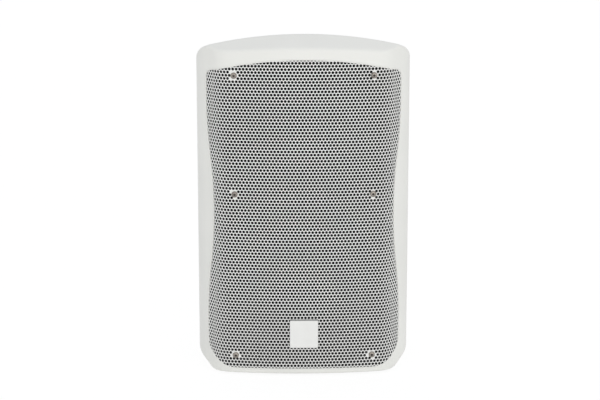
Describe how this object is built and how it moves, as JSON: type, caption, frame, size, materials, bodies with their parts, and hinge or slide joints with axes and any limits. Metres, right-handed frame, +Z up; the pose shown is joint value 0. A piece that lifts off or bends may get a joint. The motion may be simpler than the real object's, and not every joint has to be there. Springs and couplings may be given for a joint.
{
  "type": "public address loudspeaker",
  "caption": "Upright two-way public address loudspeaker: white moulded cabinet, waisted perforated steel grille, horn and cone driver, rear sockets and handle, pole cup below.",
  "frame": {"origin": "on the floor under the middle of the cabinet's box", "axes": "+Z up, -Y towards the listener (the grille side), +X to the right seen from the listener"},
  "size_m": [0.282, 0.264, 0.457],
  "materials": {
    "cabinet_plastic": "fine-grained white moulding",
    "grille_paint": "white powder coat",
    "foam": "black open-cell foam",
    "screw_steel": "stainless",
    "badge_plastic": "bare white plate",
    "gasket_rubber": "black",
    "frame_paint": "black die casting",
    "cone_paper": "pressed pulp",
    "surround_rubber": "matt",
    "spider_cloth": "treated cloth",
    "former_metal": "thin tube",
    "coil_wire": "enamelled wire",
    "motor_steel": "zinc plated",
    "ferrite": "sintered ferrite",
    "horn_plastic": "black moulding",
    "dome_metal": "thin foil dome",
    "board_laminate": "glass laminate",
    "can_film": "film wrap",
    "resistor_body": "cement",
    "panel_paint": "black powder coat",
    "socket_plastic": "black",
    "insert_brass": "threaded insert",
    "cup_plastic": "black moulding",
    "foot_rubber": "black",
    "wadding": "polyester fibre"
  },
  "bodies": {
    "cabinet": {"front_baffle": "cabinet_plastic", "rear_shell": "cabinet_plastic", "cabinet_gasket": "gasket_rubber", "shell_screws": "screw_steel", "grille": "grille_paint", "grille_foam": "foam", "grille_screws": "screw_steel", "badge_plate": "badge_plastic", "woofer_frame": "frame_paint", "woofer_gasket": "gasket_rubber", "woofer_surround": "surround_rubber", "woofer_spider": "spider_cloth", "woofer_plate": "motor_steel", "woofer_magnet": "ferrite", "woofer_yoke": "motor_steel", "woofer_screws": "screw_steel", "waveguide_horn": "horn_plastic", "horn_screws": "screw_steel", "driver_pole": "motor_steel", "driver_magnet": "ferrite", "driver_plate": "motor_steel", "driver_clamp": "horn_plastic", "driver_cap": "horn_plastic", "driver_bolts": "screw_steel", "port_tubes": "horn_plastic", "input_panel": "panel_paint", "panel_gasket": "gasket_rubber", "panel_screws": "screw_steel", "speaker_sockets": "socket_plastic", "socket_screws": "screw_steel", "crossover_board": "board_laminate", "board_spacers": "insert_brass", "crossover_chokes": "coil_wire", "crossover_cans": "can_film", "crossover_resistors": "resistor_body", "handle_cup": "cabinet_plastic", "handle_screws": "screw_steel", "rigging_inserts": "insert_brass", "pole_cup": "cup_plastic", "pole_screws": "screw_steel", "rubber_feet": "foot_rubber", "wadding_pad": "wadding"},
    "bass_cone": {"woofer_cone": "cone_paper", "dust_cap": "cone_paper", "coil_former": "former_metal", "coil_winding": "coil_wire"},
    "treble_dome": {"driver_diaphragm": "dome_metal"}
  },
  "joints": [
    {"name": "bass_cone_stroke", "type": "slide", "parent": "cabinet", "child": "bass_cone", "axis": [0, -1, 0], "range_m": [-0.004, 0.004], "stiffness_N_per_m": 1500, "deforming": ["woofer_surround", "woofer_spider"]},
    {"name": "treble_dome_stroke", "type": "slide", "parent": "cabinet", "child": "treble_dome", "axis": [0, -1, 0], "range_m": [-0.00025, 0.00025], "stiffness_N_per_m": 4000}
  ]
}
